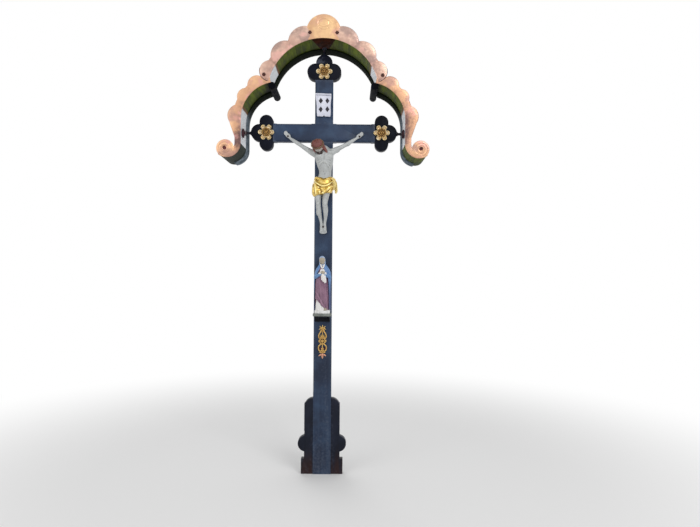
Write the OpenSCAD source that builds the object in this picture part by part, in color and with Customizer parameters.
// Roofed wayside cross: a tall timber cross with trefoil ends, a carved corpus, a small
// mourning figure on a console, a gilded ornament and a scalloped copper roof.
// Millimetres, +Z up, the front faces -Y, the origin is the centre of the post's foot.

/* [Cross] */
// Width of the post's face
post_w = 140; // [120:2:170]
// Height of the crossbeam's face
beam_h = 140; // [120:2:160]
// Depth of the post and the crossbeam
timber_d = 64; // [50:2:90]
// Chamfer on the long edges
chamfer = 12; // [4:1:18]
// Height of the crossbeam's centre line
beam_z = 2655; // [2620:5:2680]
// Radius of the three lobes at the top
top_lobe_r = 64; // [58:1:70]
// Distance of those lobes from the top rosette's centre
top_lobe_off = 68; // [60:1:70]
// Radius of the upper and lower lobe of each arm
arm_lobe_r = 53; // [45:1:58]
// Distance of the upper and lower lobe from the arm's rosette
arm_lobe_off = 85; // [76:1:92]
// Radius of the lobe at the tip of each arm
tip_lobe_r = 66; // [58:1:70]
// Distance of the tip lobe from the arm's rosette
tip_lobe_off = 54; // [46:1:60]

/* [Rosettes] */
// Diameter of a rosette over its petals
rosette_d = 124; // [104:2:130]
// Height of a rosette from its back to its centre boss
rosette_h = 24; // [18:1:32]
// Number of petals
petals = 6; // [5:1:8]

/* [Title scroll] */
// Width of the scroll at its top
scroll_top_w = 118; // [96:1:126]
// Width of the scroll at its foot
scroll_foot_w = 100; // [86:1:116]
// Height of the scroll
scroll_h = 186; // [150:2:210]
// Height of the scroll's centre over the crossbeam's centre line
scroll_rise = 213; // [195:1:235]
// Thickness of the scroll
scroll_t = 5; // [3:0.5:8]
// Radius of its rolled ends
scroll_roll_r = 9; // [7:0.5:12]

/* [Figures] */
// Height of the corpus from the crown of the head to the toes
corpus_h = 730; // [660:5:760]
// Distance of the nails in the hands below the crossbeam's centre line
hand_drop = 33; // [20:1:45]
// Diameter of a nail's shank
nail_d = 6; // [4:0.5:8]
// Depth of a nail in the timber
nail_depth = 26; // [12:1:30]
// Height of the mourning figure above its own base
mourner_h = 416; // [380:2:440]

/* [Console] */
// Height of the slab's underside
slab_z = 1237; // [1200:1:1260]
// Width of the slab
slab_w = 140; // [124:2:160]
// Depth of the slab in front of the post
slab_d = 112; // [100:2:130]
// Thickness of the slab
slab_t = 20; // [14:1:28]
// Height of the figure's own base
base_h = 24; // [18:1:32]
// Height of the console below the slab
console_h = 50; // [40:2:80]
// Width of the console
console_w = 116; // [80:2:122]
// Depth of the console at its top
console_d = 84; // [60:2:96]

/* [Gilt ornament] */
// Height of the ornament's lowest point
gilt_z = 886; // [860:2:900]
// Height of the ornament
gilt_h = 276; // [256:2:290]
// Width of the ornament
gilt_w = 70; // [60:2:84]
// Thickness of its openwork
gilt_t = 9; // [6:1:14]

/* [Roof] */
// Inner radius of the main arch
arch_r = 422; // [416:1:430]
// Height of the main arch's centre over the crossbeam's centre line
arch_rise = 253; // [248:1:262]
// Inner radius of each side arc
side_r = 275; // [270:1:280]
// Distance by which the side arc's centre lies inside the main arch
side_inset = 80; // [72:1:86]
// Distance of the side arc's centre below the main arch's centre
side_drop = 182; // [174:1:190]
// Height of the straight wall between each side arc and its hook
wall_h = 186; // [160:2:210]
// Radius of the hook
hook_r = 107; // [100:1:114]
// Radius of the volute
volute_r = 66; // [58:1:70]
// Thickness of the copper sheet
sheet_t = 3; // [2:0.5:4]
// Thickness of the fascia plates
fascia_t = 3; // [2:0.5:5]
// Width of the main fascia at its widest scallop
main_fascia_w = 116; // [100:1:130]
// Width of the side fascia at its widest scallop
side_fascia_w = 102; // [90:1:116]
// Width of the side fascia where it goes down to the volute
stem_w = 47; // [40:1:54]
// Distance from the cross's front face forward to the sheet's front edge
roof_front = 150; // [130:2:170]
// Distance from the cross's back face to the sheet's rear edge
roof_rear = 108; // [90:2:130]
// Width of the rear hoops
hoop_w = 116; // [60:2:116]
// Thickness of the rear hoops
hoop_t = 9; // [6:0.5:14]
// Outer radius of the rolled inner end of each side sheet
roll_r = 27; // [16:1:32]
// Radius of the crest plate
crest_r = 129; // [118:1:136]
// Height of the crest plate's centre over the crown of the main arch
crest_rise = 50; // [40:1:58]
// Diameter of the flower-headed bolts
bolt_d = 31; // [24:1:36]
// Diameter of the spacer rods
rod_d = 22; // [16:1:30]
// Length of the rod between the cross's top and the apex
top_rod_l = 64; // [40:2:90]
// Length of the rods between the cross's arms and the side walls
side_rod_l = 48; // [30:2:70]

/* [Foot] */
// Height of the foot cheeks
cheek_h = 590; // [520:5:640]
// Width of a foot cheek
cheek_w = 68; // [56:2:84]
// Depth of a foot cheek
cheek_d = 56; // [40:2:64]
// Radius of the round swelling on a cheek
cheek_swell_r = 62; // [50:2:70]
// Height of that swelling's centre
cheek_swell_z = 235; // [200:5:260]

/* [Hidden] */
$fn = 64;
// Clearance where one shaped piece is seated on another
seat = 0.3;
// Length by which a cutter passes the face it cuts
pass = 5;
// Distance by which a chamfer stops short of a joint
chamfer_stop = 27;
front_y = -timber_d / 2;
back_y = timber_d / 2;
sheet_front_y = front_y - roof_front;
sheet_rear_y = back_y + roof_rear;
scroll_z = beam_z + scroll_rise;
arch_z = beam_z + arch_rise;
side_x = arch_r - side_inset;
side_z = arch_z - side_drop;
side_in_x = side_x + side_r;
// The cross fills the roof: each of its three ends lies a rod's length inside the copper.
arm_end_x = side_in_x - seat - side_rod_l - seat;
arm_x = arm_end_x - tip_lobe_r - tip_lobe_off;
// The collar is wide, so the rod ends where its rim would meet the curved tongue.
rod_collar_d = 1.55 * rod_d;
tongue_r = arch_r - seat - sheet_t;
top_rod_z = arch_z + sqrt(tongue_r * tongue_r - rod_collar_d * rod_collar_d / 4) - seat;
top_z = top_rod_z - top_rod_l - seat - top_lobe_r - top_lobe_off;
hook_z = side_z - wall_h;
crest_z = arch_z + arch_r + crest_rise;
hook_x = side_in_x + hook_r;
volute_turn = 285;
volute_x = hook_x + (hook_r - volute_r) * cos(volute_turn);
volute_z = hook_z + (hook_r - volute_r) * sin(volute_turn);
post_top = top_z - top_lobe_r;
beam_end = arm_x - arm_lobe_r;
body_seat = front_y - seat;
slab_top = slab_z + slab_t;
mourner_z = slab_top + base_h;

// Shared shapes

// Stands a flat outline up: its x stays x, its y becomes z, and it fills y0 to y1.
module upright(y0, y1) {
    translate([0, y1, 0]) rotate([90, 0, 0]) linear_extrude(y1 - y0) children();
}

// Flat pie slice from angle a0 to a1.
module wedge(r, a0, a1) {
    steps = ceil((a1 - a0) / 40);
    polygon([[0, 0], for (i = [0 : steps]) let (a = a0 + (a1 - a0) * i / steps)
        [2 * r * cos(a), 2 * r * sin(a)]]);
}

// Flat ring between two radii, from angle a0 to a1.
module band(r_in, r_out, a0, a1) {
    intersection() {
        difference() {
            circle(r_out);
            circle(r_in);
        }
        wedge(r_out, a0, a1);
    }
}

// A long square bar set on edge, which cuts a chamfer c wide along X.
module chamfer_bar(length, c) {
    rotate([45, 0, 0]) cube([length, c * sqrt(2), c * sqrt(2)], center = true);
}

// A point u of the way along a list of stations, on a smooth curve through them all.
function smooth_point(a, b, c, d, t) =
    0.5 * (2 * b + (c - a) * t + (2 * a - 5 * b + 4 * c - d) * t * t
        + (3 * b - a - 3 * c + d) * t * t * t);
function along(stations, u) =
    let (last = len(stations) - 1, i = min(floor(u * last), last - 1))
    smooth_point(stations[max(i - 1, 0)], stations[i], stations[i + 1],
        stations[min(i + 2, last)], u * last - i);
function unit(v) = v / norm(v);
function place(s) = [s[0], s[1], s[2]];

// One ring of a limb: station s holds x, y, z, the half width and the half depth, and
// the ring stands square to the way the limb runs. grow widens it all round, and no
// point lies behind the plane y = back.
function limb_ring(s, way, sides, grow, back) =
    let (u = unit(cross([0, 1, 0], way)), v = cross(way, u))
    [for (k = [0 : sides - 1]) let (a = 360 * k / sides,
        p = place(s) + u * (s[3] + grow) * cos(a) + v * (s[4] + grow) * sin(a))
        [p[0], min(p[1], back), p[2]]];
function limb_rings(stations, sides, steps, grow, back) =
    [for (i = [0 : steps]) let (u = i / steps, s = along(stations, u),
        way = unit(place(along(stations, min(u + 0.02, 1)))
            - place(along(stations, max(u - 0.02, 0)))))
        limb_ring(s, way, sides, grow, back)];

// Closed skin over a list of rings that all have the same number of points.
module skin(rings) {
    n = len(rings[0]);
    last = len(rings) - 1;
    centre_a = [for (j = [0 : 2]) [for (p = rings[0]) p[j]] * [for (p = rings[0]) 1] / n];
    centre_b = [for (j = [0 : 2]) [for (p = rings[last]) p[j]] * [for (p = rings[0]) 1] / n];
    points = concat([for (r = rings) each r], [centre_a, centre_b]);
    sides = [for (i = [0 : last - 1], k = [0 : n - 1]) let (m = (k + 1) % n)
        each [[i * n + k, i * n + n + k, i * n + n + m], [i * n + k, i * n + n + m, i * n + m]]];
    caps = [for (k = [0 : n - 1]) let (m = (k + 1) % n)
        each [[n * last + n, k, m], [n * last + n + 1, n * last + m, n * last + k]]];
    polyhedron(points, concat(sides, caps));
}

module limb(stations, sides = 14, steps = 12, grow = 0, back = body_seat) {
    skin(limb_rings(stations, sides, steps, grow, back));
}

// The cross

module post() {
    edge_x = post_w / 2;
    runs = [[cheek_h + 2 * chamfer_stop, beam_z - beam_h / 2 - chamfer_stop],
        [beam_z + beam_h / 2 + chamfer_stop, post_top - chamfer_stop]];
    color("#303f5c") difference() {
        translate([-post_w / 2, front_y, 0]) cube([post_w, timber_d, post_top]);
        translate([-post_w / 2 - pass, front_y - pass, beam_z - beam_h / 2])
            cube([post_w + 2 * pass, timber_d / 2 + pass, beam_h]);
        for (run = runs, x = [-edge_x, edge_x], y = [front_y, back_y])
            translate([x, y, (run[0] + run[1]) / 2]) rotate([0, 90, 0])
                chamfer_bar(run[1] - run[0], chamfer);
        nail_bore(0, foot_nail_z);
    }
}

module crossbeam() {
    run = beam_end - post_w / 2 - 2 * chamfer_stop;
    color("#303f5c") difference() {
        translate([-beam_end, front_y, beam_z - beam_h / 2]) cube([2 * beam_end, timber_d, beam_h]);
        translate([-post_w / 2, 0, beam_z - beam_h / 2 - pass])
            cube([post_w, back_y + pass, beam_h + 2 * pass]);
        for (side = [-1, 1], y = [front_y, back_y], z = [-1, 1])
            translate([side * (beam_end + post_w / 2) / 2, y, beam_z + z * beam_h / 2])
                chamfer_bar(run, chamfer);
        for (side = [-1, 1]) nail_bore(side * hand_nail_x, hand_nail_z);
    }
}

// Bore for a nail, from the front face into the timber.
module nail_bore(x, z) {
    translate([x, front_y + nail_depth, z]) rotate([90, 0, 0])
        cylinder(d = nail_d + seat, h = nail_depth + pass);
}

module top_trefoil_outline() {
    for (x = [-top_lobe_off, top_lobe_off]) translate([x, 0]) circle(top_lobe_r);
    translate([0, top_lobe_off]) circle(top_lobe_r);
    square(2 * top_lobe_r - 4, center = true);
    translate([-post_w / 2, -top_lobe_r]) square([post_w, top_lobe_r]);
}

module arm_trefoil_outline() {
    for (z = [-arm_lobe_off, arm_lobe_off]) translate([0, z]) circle(arm_lobe_r);
    translate([tip_lobe_off, 0]) circle(tip_lobe_r);
    square([2 * arm_lobe_r, 2 * arm_lobe_off], center = true);
}

module top_trefoil() {
    color("#22283c") upright(front_y, back_y) translate([0, top_z]) top_trefoil_outline();
}

module arm_trefoil() {
    color("#22283c") upright(front_y, back_y) translate([arm_x, beam_z]) arm_trefoil_outline();
}

// A rosette: cupped petals round a second whorl and a boss, its back at y = 0.
module rosette() {
    petal_r = rosette_d * 0.17;
    reach = rosette_d / 2 - petal_r;
    inner_r = rosette_d * 0.11;
    rotate([90, 0, 0]) {
        cylinder(d = rosette_d * 0.74, h = rosette_h * 0.3);
        for (i = [0 : petals - 1]) rotate(360 * i / petals) translate([reach, 0, 0]) petal(petal_r);
        for (i = [0 : petals - 1]) rotate(360 * (i + 0.5) / petals)
            translate([rosette_d * 0.19, 0, rosette_h * 0.2]) petal(inner_r);
        cylinder(d = rosette_d * 0.3, h = rosette_h * 0.72);
        translate([0, 0, rosette_h - 12]) cylinder(d1 = rosette_d * 0.2, d2 = rosette_d * 0.1, h = 12);
    }
}

// One petal: a low cup, hollowed by a round dish.
module petal(r) {
    rim = rosette_h * 0.5;
    dish = r * 1.1;
    difference() {
        cylinder(r1 = r * 0.8, r2 = r, h = rim);
        translate([0, 0, rim + dish * 0.72]) sphere(dish);
    }
}

module top_rosette() {
    color("#e1be5a") translate([0, front_y, top_z]) rosette();
}

module left_rosette() {
    color("#e1be5a") translate([-arm_x, front_y, beam_z]) rosette();
}

module right_rosette() {
    color("#e1be5a") translate([arm_x, front_y, beam_z]) rosette();
}

// The title scroll: a sheet whose head and foot roll forward, with a small notch below.
module title_scroll() {
    half = scroll_h / 2;
    slant = 5;
    notch = 9;
    color("#c9ccd8") intersection() {
        translate([-post_w / 2, front_y, scroll_z]) rotate([90, 0, 90]) linear_extrude(post_w) {
            translate([-scroll_t, -half + scroll_roll_r])
                square([scroll_t, scroll_h - 2 * scroll_roll_r]);
            for (end = [-1, 1]) translate([-scroll_roll_r, end * (half - scroll_roll_r)])
                mirror([0, end < 0 ? 1 : 0]) band(scroll_roll_r - scroll_t, scroll_roll_r, 0, 200);
        }
        upright(front_y - 3 * scroll_roll_r, front_y) translate([0, scroll_z]) polygon([
            [-scroll_top_w / 2, half], [scroll_top_w / 2, half - slant],
            [scroll_foot_w / 2, -half + slant], [notch, -half],
            [0, -half + notch], [-notch, -half], [-scroll_foot_w / 2 - slant, -half - slant]]);
    }
}

// The corpus

// Its stations hold x, the distance in front of the timber, the height over the nails in
// the hands, the half width and the half depth, for a figure 730 high.
corpus_scale = corpus_h / 730;
hand_nail_x = 277 * corpus_scale;
hand_nail_z = beam_z - hand_drop;
foot_nail_z = hand_nail_z - 700 * corpus_scale;

function on_cross(p) = [p[0] * corpus_scale, front_y - p[1] * corpus_scale,
    hand_nail_z + p[2] * corpus_scale];
function carved(list) = [for (s = list) concat(on_cross(s), [s[3], s[4]] * corpus_scale)];

// Trunk, from the hips up to the neck.
trunk = carved([[0, 54, -450, 44, 40], [2, 53, -412, 64, 50], [10, 48, -342, 56, 46],
    [15, 44, -280, 47, 40], [12, 50, -222, 61, 50], [7, 52, -170, 71, 54],
    [2, 50, -132, 72, 46], [-4, 56, -107, 44, 34], [-16, 68, -90, 25, 27],
    [-26, 84, -70, 22, 24]]);
// Legs: thigh, knee, shin, ankle, foot and toes.
left_leg = carved([[-36, 58, -402, 34, 40], [-40, 68, -472, 27, 31], [-36, 90, -530, 20, 22],
    [-32, 72, -576, 20, 22], [-20, 44, -637, 13, 15], [-14, 30, -672, 12, 17],
    [-12, 20, -707, 12, 14], [-14, 13, -750, 12, 9]]);
right_leg = carved([[30, 58, -402, 34, 40], [24, 68, -472, 29, 31], [16, 92, -530, 21, 22],
    [22, 74, -576, 21, 22], [18, 46, -637, 13, 15], [13, 30, -672, 12, 17],
    [12, 20, -707, 12, 14], [15, 13, -750, 12, 9]]);
// Arms: shoulder, elbow, wrist, palm and finger tips.
left_arm = carved([[-48, 48, -144, 34, 30], [-90, 46, -128, 24, 24], [-134, 36, -100, 18, 19],
    [-178, 26, -70, 15, 16], [-220, 20, -42, 14, 14], [-258, 14, -16, 9, 10],
    [-281, 11, 3, 16, 9], [-300, 8, 28, 12, 6], [-314, 6, 46, 4, 4]]);
right_arm = carved([[48, 48, -134, 34, 30], [82, 46, -116, 24, 24], [124, 36, -92, 18, 19],
    [166, 26, -68, 15, 16], [210, 20, -40, 14, 14], [250, 14, -14, 9, 10],
    [274, 11, 0, 16, 9], [298, 8, 22, 12, 6], [314, 6, 34, 4, 4]]);
shoulder_x = 62 * corpus_scale;
head_at = on_cross([-38, 106, -78]);
head_tilt = [30, -14, 0];
head_long = 112 * corpus_scale;
// Length that is longer than any part of the corpus
past_corpus = corpus_h;

// A head: an egg of plain even proportions, in shares of its height from chin to crown.
head_shape = [[0, 0.09, -0.50, 0.07, 0.10], [0, 0.02, -0.44, 0.22, 0.27],
    [0, 0, -0.30, 0.30, 0.36], [0, 0, -0.10, 0.35, 0.40], [0, 0, 0.10, 0.37, 0.42],
    [0, 0, 0.28, 0.34, 0.40], [0, 0, 0.42, 0.22, 0.27], [0, 0, 0.50, 0.06, 0.08]];

module egg_head(long, grow = 0, sides = 16, steps = 12) {
    limb([for (s = head_shape) s * (long + 2 * grow)], sides, steps, grow, long);
}

module face_relief(long) {
    nose = [[0, -0.41, 0.08, 0.03, 0.03], [0, -0.44, -0.02, 0.04, 0.05],
        [0, -0.45, -0.10, 0.055, 0.06], [0, -0.40, -0.13, 0.03, 0.03]];
    limb([for (s = nose) s * long], 8, 4, 0, long);
}

module trunk_solid(grow = 0) {
    limb(trunk, 20, 16, grow);
}

module legs_solid(grow = 0) {
    limb(left_leg, 12, 14, grow);
    limb(right_leg, 12, 14, grow);
}

module shoulder_side(side) {
    translate([side * (shoulder_x + past_corpus / 2), 0, hand_nail_z])
        cube(past_corpus, center = true);
}

module corpus_body() {
    color("#b4b4b6") difference() {
        union() {
            trunk_solid();
            legs_solid();
        }
        for (side = [-1, 1]) shoulder_side(side);
        placed_head() egg_head(head_long, seat);
        nail_hole(0, foot_nail_z);
    }
}

module corpus_arm(stations, side) {
    color("#b4b4b6") difference() {
        intersection() {
            limb(stations, 12, 16);
            translate([side * seat, 0, 0]) shoulder_side(side);
        }
        nail_hole(side * hand_nail_x, hand_nail_z);
    }
}

module corpus_left_arm() {
    corpus_arm(left_arm, -1);
}

module corpus_right_arm() {
    corpus_arm(right_arm, 1);
}

module nail_hole(x, z) {
    translate([x, front_y + pass, z]) rotate([90, 0, 0])
        cylinder(d = nail_d + seat, h = past_corpus, $fn = 14);
}

module placed_head() {
    translate(head_at) rotate(head_tilt) children();
}

module corpus_head() {
    color("#b4b4b6") placed_head() {
        egg_head(head_long);
        face_relief(head_long);
    }
}

// Hair that lies round the head and falls in a lock on one shoulder.
module corpus_hair() {
    cap = [[0, 0.10, -0.28, 0.16, 0.26], [0, 0.10, -0.18, 0.36, 0.40], [0, 0.07, 0.05, 0.43, 0.45],
        [0, 0.05, 0.28, 0.42, 0.46], [0, 0.04, 0.45, 0.30, 0.34], [0, 0.03, 0.55, 0.10, 0.12]];
    lock = carved([[-6, 96, -56, 9, 12], [4, 98, -81, 12, 14], [8, 100, -108, 11, 11],
        [8, 102, -130, 5, 5]]);
    color("#7a3a30") difference() {
        union() {
            placed_head() limb([for (s = cap) s * head_long], 16, 10, 0, past_corpus);
            limb(lock, 8, 5, 0, past_corpus);
        }
        placed_head() {
            egg_head(head_long, seat);
            translate([0, -head_long * 0.62, -head_long * 0.18])
                cube([head_long * 0.56, head_long * 0.7, head_long * 0.8], center = true);
        }
        trunk_solid(seat);
        shoulder_arm_clear();
        translate([-past_corpus / 2, body_seat, hand_nail_z - past_corpus / 2]) cube(past_corpus);
    }
}

module shoulder_arm_clear() {
    limb(left_arm, 12, 16, seat);
    limb(right_arm, 12, 16, seat);
}

// The loincloth: folds round the hips with a knot that hangs on one side, and a hem that
// rises towards the knot by this angle.
hem_tilt = 17;
cloth = carved([[-2, 52, -482, 66, 56], [0, 52, -436, 76, 62], [2, 52, -382, 74, 60],
    [6, 50, -332, 66, 55], [8, 48, -318, 58, 50]]);

function fold_ring(ring, s, folds, deep, twist) =
    [for (p = ring) let (a = atan2(p[1] - s[1], p[0] - s[0]), f = 1 + deep * sin(folds * a + twist))
        [s[0] + (p[0] - s[0]) * f, min(s[1] + (p[1] - s[1]) * f, body_seat), p[2]]];

module folded(stations, sides, steps, folds, deep, turn) {
    rings = limb_rings(stations, sides, steps, 0, body_seat);
    skin([for (i = [0 : steps]) let (u = i / steps)
        fold_ring(rings[i], along(stations, u), folds, deep * (1 - u * 0.5), turn * u)]);
}

module loincloth() {
    knot = carved([[66, 56, -340, 10, 12], [84, 54, -360, 13, 14], [91, 50, -392, 12, 12],
        [93, 46, -422, 13, 9], [94, 44, -450, 9, 6]]);
    color("#dcb84e") difference() {
        union() {
            difference() {
                folded(cloth, 28, 8, 7, 0.05, 120);
                translate(on_cross([0, 0, -458])) rotate([0, -hem_tilt, 0])
                    translate([-past_corpus / 2, -past_corpus / 2, -past_corpus])
                        cube(past_corpus);
            }
            limb(knot, 10, 8);
        }
        trunk_solid(seat);
        legs_solid(seat);
    }
}

// Depth of the hands and of the feet, from the timber out to the nail's head
hand_deep = 22 * corpus_scale;
foot_deep = 36 * corpus_scale;

module corpus_nails() {
    color("#2b2b30") {
        for (side = [-1, 1]) nail(side * hand_nail_x, hand_nail_z, front_y - hand_deep);
        nail(0, foot_nail_z, front_y - foot_deep);
    }
}

// A hand-made nail with a domed head whose underside lies at y = head_y.
module nail(x, z, head_y) {
    translate([x, front_y + nail_depth - seat, z]) rotate([90, 0, 0]) {
        length = front_y + nail_depth - seat - head_y;
        cylinder(d = nail_d, h = length);
        translate([0, 0, length]) cylinder(d1 = 13, d2 = 7, h = 5);
    }
}

// The mourning figure

fig_scale = mourner_h / 416;
fig_y = body_seat - 57.7 * fig_scale;
fig_neck = 0.845;
fig_head_long = 66 * fig_scale;

// Stations given as shares of the figure's height, in its own place on the base.
function figure(list) =
    [for (s = list) [s[0] * fig_scale, fig_y + s[1] * fig_scale, mourner_z + s[2] * mourner_h,
        s[3] * fig_scale, s[4] * fig_scale]];

dress = figure([[-2, 2, 0, 55, 42], [-2, 2, 0.04, 55, 42], [-2, 2, 0.2, 53, 38],
    [-4, 1, 0.4, 50, 34], [-2, 0, 0.56, 44, 31], [1, 0, 0.7, 39, 29], [0, 2, 0.79, 33, 24],
    [-1, 2, 0.835, 16, 16], [-1, 0, 0.87, 12, 13]]);
mantle = figure([[-1, 8, 0.02, 64, 44], [-1, 8, 0.2, 63, 43], [-1, 7, 0.45, 62, 41],
    [1, 5, 0.62, 63, 39], [1, 4, 0.74, 53, 34], [0, 4, 0.81, 36, 27], [-1, 4, 0.85, 22, 20]]);
veil = figure([[-1, 8, 0.80, 33, 22], [-1, 8, 0.86, 31, 25], [-2, 6, 0.92, 29, 29],
    [-2, 4, 0.975, 24, 26], [-2, 3, 1.0, 9, 11]]);

module mourner_dress() {
    color("#87606f") difference() {
        folded(dress, 24, 14, 9, 0.05, 30);
        figure_head_place() egg_head(fig_head_long, seat, 14, 10);
    }
}

module figure_head_place() {
    translate([-2 * fig_scale, fig_y - 4 * fig_scale, mourner_z + 0.915 * mourner_h])
        rotate([10, 0, 0]) children();
}

module mourner_head() {
    color("#d8b49c") figure_head_place() {
        egg_head(fig_head_long, 0, 14, 10);
        face_relief(fig_head_long);
    }
}

// The mantle hangs from the shoulders and leaves the front of the dress open.
mantle_opening = [[-74, -15], [42, -15], [40, 195], [40, 257], [10, 325], [-12, 340], [-36, 320],
    [-60, 264], [-74, 236]];
mantle_open_d = 120 * fig_scale;

module mourner_mantle() {
    color("#4b7db4") difference() {
        folded(mantle, 24, 12, 6, 0.04, 60);
        folded_core();
        translate([0, fig_y - mantle_open_d / 2, mourner_z]) rotate([90, 0, 0])
            linear_extrude(mantle_open_d, center = true) polygon(mantle_opening * fig_scale);
        veil_solid(seat);
        hands_solid(seat);
        figure_head_place() egg_head(fig_head_long, seat, 14, 10);
    }
}

module folded_core() {
    rings = limb_rings(dress, 24, 14, seat, mourner_h);
    skin([for (i = [0 : 14]) let (u = i / 14)
        fold_ring(rings[i], along(dress, u), 9, 0.05 * (1 - u * 0.5), 30 * u)]);
}

module veil_solid(grow = 0) {
    limb(veil, 18, 9, grow);
}

module mourner_veil() {
    color("#c8d4e6") difference() {
        veil_solid();
        figure_head_place() {
            egg_head(fig_head_long, seat, 14, 10);
            translate([0, -fig_head_long * 0.6, -fig_head_long * 0.12])
                cube([fig_head_long * 0.6, fig_head_long * 0.7, fig_head_long * 0.9], center = true);
        }
        folded_core();
    }
}

// Forearms and clasped hands with the cloth that hangs from them.
module hands_solid(grow = 0) {
    for (side = [-1, 1]) limb(figure([[side * 50, -14, 0.62, 17, 17], [side * 34, -36, 0.645, 14, 14],
        [side * 16 + 5, -46, 0.68, 9, 10], [5, -48, 0.715, 7, 8]]), 10, 8, grow, mourner_h);
    limb(figure([[0, -44, 0.69, 9, 6], [5, -44, 0.63, 18, 9], [13, -42, 0.57, 19, 9],
        [23, -40, 0.51, 7, 5]]), 10, 6, grow, mourner_h);
}

module mourner_hands() {
    color("#e4e2de") difference() {
        hands_solid();
        folded_core();
    }
}

module figure_base() {
    w = slab_w - 24;
    color("#d6d6d4") translate([-w / 2, front_y - slab_d + 10, slab_top])
        cube([w, slab_d - 10, base_h]);
}

module slab() {
    color("#8c8c90") translate([-slab_w / 2, front_y - slab_d, slab_z])
        cube([slab_w, slab_d, slab_t]);
}

// The console: a board with a hollow and a round moulding under the slab.
module console() {
    hollow = console_h * 0.62;
    color("#1c1c20") translate([-console_w / 2, front_y, slab_z]) rotate([90, 0, 90])
        linear_extrude(console_w) difference() {
            translate([-console_d, -console_h]) square([console_d, console_h]);
            translate([-console_d - 2, -console_h - 2]) circle(hollow + console_h * 0.2);
            translate([-console_d * 0.4, -console_h - hollow * 0.35]) circle(hollow * 0.6);
        }
}

// The gilded ornament: two scrolled frames over and under a cartouche, with leaf ends.
module gilt_ornament() {
    mid = gilt_h * 0.44;
    color("#e6c25c") translate([0, front_y, gilt_z]) {
        upright(-gilt_t, 0) gilt_outline(mid);
        translate([0, 0, mid]) rotate([90, 0, 0]) cylinder(r = gilt_w * 0.2, h = gilt_t + 5);
        for (side = [-1, 1], z = [gilt_h * 0.2, gilt_h * 0.3])
            translate([side * gilt_w * 0.24, 0, z]) rotate([90, 0, 0])
                cylinder(r = gilt_w * 0.09, h = gilt_t + 4);
    }
}

module leaf(length, width) {
    r = (length * length / 4 + width * width / 4) / width;
    intersection() {
        translate([r - width / 2, length / 2]) circle(r);
        translate([-r + width / 2, length / 2]) circle(r);
    }
}

module gilt_outline(mid) {
    w = gilt_w;
    h = gilt_h;
    translate([0, h - 58]) leaf(58, 17);
    for (side = [-1, 1]) mirror([side < 0 ? 1 : 0, 0]) {
        translate([0, h - 46]) rotate(-52) leaf(40, 13);
        translate([0, h - 40]) rotate(-140) leaf(38, 12);
        translate([w * 0.5 - 30, h * 0.60]) band(23, 30, -70, 100);
        translate([0, h * 0.84]) rotate(-158) leaf(h * 0.3, 12);
        translate([w * 0.5 - 13, mid + 4]) circle(13);
        translate([w * 0.24, h * 0.25]) difference() {
            circle(w * 0.24);
            circle(w * 0.14);
        }
        translate([0, h * 0.13]) rotate(-112) leaf(36, 13);
        translate([0, h * 0.10]) rotate(-70) leaf(34, 12);
    }
    translate([0, mid]) circle(w * 0.27);
    translate([-5, h * 0.12]) square([10, h * 0.72]);
    leaf(h * 0.17, 18);
}

// The roof

// Everything under the side sheet's outer face, where the main arch stops.
module side_clear() {
    for (side = [-1, 1]) translate([side * side_x, side_z]) circle(side_r + sheet_t + seat);
}

module main_arch_sheet() {
    color("#d9ab8e") upright(sheet_front_y - fascia_t, sheet_rear_y) difference() {
        translate([0, arch_z]) band(arch_r, arch_r + sheet_t, 0, 180);
        side_clear();
    }
}

// The rolled inner end of a side sheet lies at this angle of the side arc.
roll_angle = 80;

// Where the roll and the volute are lapped on, they are this much thinner on each face,
// and they run on by this angle into the arc that carries them.
lap_step = 0.4;
lap_angle = 4;

// The side sheet's line: a rolled end, the arc, the straight wall, the hook and the volute.
module side_sheet_outline() {
    roll_at = side_r - roll_r;
    translate([side_x, side_z]) {
        band(side_r, side_r + sheet_t, 0, roll_angle);
        rotate(roll_angle) translate([roll_at + sheet_t, 0])
            band(roll_r - sheet_t + lap_step, roll_r - lap_step, -lap_angle, 300);
    }
    translate([side_in_x, hook_z]) square([sheet_t, wall_h]);
    translate([hook_x, hook_z]) band(hook_r - sheet_t, hook_r, 180, volute_turn);
    translate([volute_x, volute_z])
        band(volute_r - sheet_t + lap_step, volute_r - lap_step, volute_turn - lap_angle, 540);
}

module right_side_sheet() {
    color("#d9ab8e") upright(sheet_front_y, sheet_rear_y) side_sheet_outline();
}

module left_side_sheet() {
    mirror([1, 0, 0]) right_side_sheet();
}

// A fascia is an even band whose outer edge swells into scallops. Each scallop is given by
// its angle, and its radius and its reach past the inner edge in shares of the width.
module scallops(list, inner_r, width) {
    for (s = list) rotate(s[0]) translate([inner_r + (s[2] - s[1]) * width, 0]) circle(s[1] * width);
}

main_scallops = [[70, 1.08, 1], [45.5, 0.95, 0.845], [23.5, 0.69, 0.82]];
main_notch_w = 0.53 * main_fascia_w;

module main_fascia_outline() {
    difference() {
        translate([0, arch_z]) {
            band(arch_r, arch_r + main_notch_w, 20, 90);
            intersection() {
                scallops(main_scallops, arch_r, main_fascia_w);
                square(2 * arch_r);
            }
        }
        translate([0, arch_z]) circle(arch_r);
    }
}

module right_main_fascia() {
    color("#ebbea0") upright(sheet_front_y - 2 * fascia_t, sheet_front_y - fascia_t)
        main_fascia_outline();
}

module left_main_fascia() {
    mirror([1, 0, 0]) right_main_fascia();
}

// Fascia of a side: three scallops, a stem and the disc of the volute.
side_scallops = [[58, 0.69, 0.91], [34, 0.64, 0.785], [4, 0.83, 1]];
side_notch_w = 0.59 * side_fascia_w;
// The side fascia runs on to this angle behind the round end of the main one and stops
// against the main arch's sheet.
step_meet = 82;
// The stem narrows over this share of the wall, from this much wider than the stem.
stem_top = 0.82;
stem_foot = 0.24;
stem_swell = 0.37 * side_fascia_w;

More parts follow.
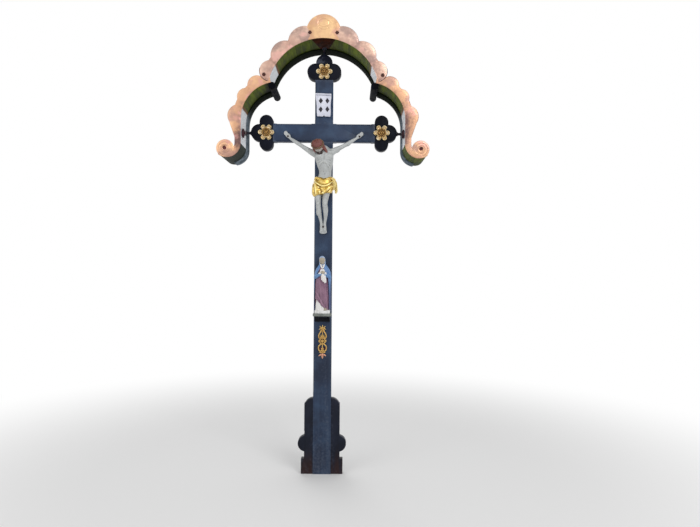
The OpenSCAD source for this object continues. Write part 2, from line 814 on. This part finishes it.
module side_fascia_outline() {
    difference() {
        union() {
            translate([side_x, side_z]) {
                band(side_r, side_r + side_notch_w, 0, step_meet);
                scallops(side_scallops, side_r, side_fascia_w);
            }
            translate([side_in_x, hook_z]) polygon([[0, 0], [stem_w, 0], [stem_w, wall_h * stem_foot],
                [stem_w + stem_swell, wall_h * stem_top], [0, wall_h]]);
        }
        translate([side_x, side_z]) circle(side_r);
        translate([0, arch_z]) circle(arch_r + sheet_t + seat);
        translate([side_in_x - side_r, hook_z]) square([side_r, wall_h]);
    }
    translate([hook_x, hook_z]) band(hook_r - stem_w, hook_r, 180, volute_turn + 20);
    translate([volute_x, volute_z]) circle(volute_r);
}

module right_side_fascia() {
    color("#ebbea0") upright(sheet_front_y - fascia_t, sheet_front_y) side_fascia_outline();
}

module left_side_fascia() {
    mirror([1, 0, 0]) right_side_fascia();
}

// The crest plate closes the two halves of the main fascia and rises over them. It bears
// an embossed ring.
ring_r = 0.26 * crest_r;
ring_t = 0.045 * crest_r;

module crest_plate() {
    y = sheet_front_y - 2 * fascia_t;
    color("#f0c8a4") {
        upright(y - fascia_t, y) difference() {
            translate([0, crest_z]) circle(crest_r);
            translate([0, arch_z]) circle(arch_r);
        }
        upright(y - fascia_t - ring_t, y - fascia_t) translate([0, crest_z + 0.48 * crest_r])
            band(ring_r - ring_t, ring_r, 0, 360);
    }
}

// A band of iron lies under the rear of each sheet and carries it. On a side it ends just
// short of the roll, which takes up this angle.
roll_lap = 1.06 * asin(roll_r / (side_r - roll_r));

module hoop_outline() {
    in_r = side_r - seat;
    translate([side_x, side_z]) band(in_r - hoop_t, in_r, 0, roll_angle - roll_lap);
    translate([side_in_x - seat - hoop_t, hook_z]) square([hoop_t, wall_h]);
    translate([hook_x, hook_z]) band(hook_r + seat, hook_r + seat + hoop_t, 180, 262);
}

module main_rear_hoop() {
    color("#3a4658") upright(sheet_rear_y - hoop_w, sheet_rear_y) difference() {
        translate([0, arch_z]) band(arch_r - seat - hoop_t, arch_r - seat, 0, 180);
        side_clear();
    }
}

module right_rear_hoop() {
    color("#3a4658") upright(sheet_rear_y - hoop_w, sheet_rear_y) hoop_outline();
}

module left_rear_hoop() {
    mirror([1, 0, 0]) right_rear_hoop();
}

// Flower-headed bolts: two on the crest, one on each step and one on each volute.
crest_bolt = [0.79 * crest_r, -0.08 * crest_r];
step_bolt_angle = 18;
step_bolt_r = arch_r + 0.4 * main_fascia_w;
volute_bolt = 0.08 * volute_r;

module flower_bolt(y) {
    translate([0, y, 0]) rotate([90, 0, 0]) {
        cylinder(d = bolt_d * 0.7, h = 3);
        for (i = [0 : 5]) rotate(60 * i) translate([bolt_d * 0.33, 0, 0]) cylinder(d = bolt_d * 0.34, h = 5);
        cylinder(d1 = bolt_d * 0.5, d2 = bolt_d * 0.3, h = 9);
    }
}

module fascia_bolts() {
    main_y = sheet_front_y - 2 * fascia_t;
    color("#4a2c26") for (side = [-1, 1]) {
        translate([side * crest_bolt[0], 0, crest_z + crest_bolt[1]]) flower_bolt(main_y - fascia_t);
        translate([side * step_bolt_r * cos(step_bolt_angle), 0,
            arch_z + step_bolt_r * sin(step_bolt_angle)]) flower_bolt(main_y);
        translate([side * (volute_x + volute_bolt), 0, volute_z + volute_bolt])
            flower_bolt(sheet_front_y - fascia_t);
    }
}

// A tapering tongue under the apex, from the front edge back to the top rod.
module apex_tongue() {
    wide = 90;
    narrow = 34;
    color("#7d4a34") intersection() {
        upright(sheet_front_y - 2 * fascia_t, rod_d) translate([0, arch_z])
            band(tongue_r, arch_r - seat, 70, 110);
        translate([0, 0, arch_z]) linear_extrude(2 * arch_r) polygon([
            [-wide, sheet_front_y - 2 * fascia_t], [wide, sheet_front_y - 2 * fascia_t],
            [narrow, rod_d], [-narrow, rod_d]]);
    }
}

// A spacer rod with a collar at its far end, along +Z from z = 0.
module rod(length) {
    cylinder(d = rod_d, h = length);
    translate([0, 0, length * 0.75]) cylinder(d = rod_collar_d, h = length * 0.25);
    cylinder(d = rod_collar_d, h = length * 0.1);
}

module top_rod() {
    color("#1c1e2a") translate([0, 0, top_rod_z - top_rod_l]) rod(top_rod_l);
}

module right_rod() {
    color("#1c1e2a") translate([side_in_x - seat - side_rod_l, 0, beam_z]) rotate([0, 90, 0])
        rod(side_rod_l);
}

module left_rod() {
    mirror([1, 0, 0]) right_rod();
}

// The foot cheeks: profiled boards on both sides of the post.
module cheek_outline() {
    inner = post_w / 2;
    cove_r = cheek_w * 0.55;
    difference() {
        union() {
            translate([inner, 0]) square([cheek_w, cheek_h - cheek_w * 0.6]);
            intersection() {
                translate([inner, cheek_h - cheek_w]) circle(cheek_w);
                translate([inner, cheek_h - cheek_w]) square(cheek_w);
            }
            translate([inner + cheek_w - 12, cheek_swell_z]) circle(cheek_swell_r);
            translate([inner, 0]) square([cheek_w + 24, cheek_swell_z * 0.5]);
        }
        translate([inner - 200, 0]) square([200, cheek_h]);
        translate([inner + cheek_w + cove_r - 2, cheek_swell_z + cheek_swell_r + cove_r * 0.7])
            circle(cove_r);
    }
}

module right_foot_cheek() {
    color("#232a33") upright(-cheek_d / 2, cheek_d / 2) cheek_outline();
}

module left_foot_cheek() {
    mirror([1, 0, 0]) right_foot_cheek();
}

post();
crossbeam();
top_trefoil();
mirror([1, 0, 0]) arm_trefoil();  // left_trefoil
arm_trefoil();  // right_trefoil
top_rosette();
left_rosette();
right_rosette();
title_scroll();
corpus_body();
corpus_left_arm();
corpus_right_arm();
corpus_head();
corpus_hair();
loincloth();
corpus_nails();
mourner_dress();
mourner_mantle();
mourner_head();
mourner_veil();
mourner_hands();
figure_base();
slab();
console();
gilt_ornament();
main_arch_sheet();
left_side_sheet();
right_side_sheet();
crest_plate();
left_main_fascia();
right_main_fascia();
left_side_fascia();
right_side_fascia();
main_rear_hoop();
left_rear_hoop();
right_rear_hoop();
fascia_bolts();
apex_tongue();
top_rod();
left_rod();
right_rod();
left_foot_cheek();
right_foot_cheek();
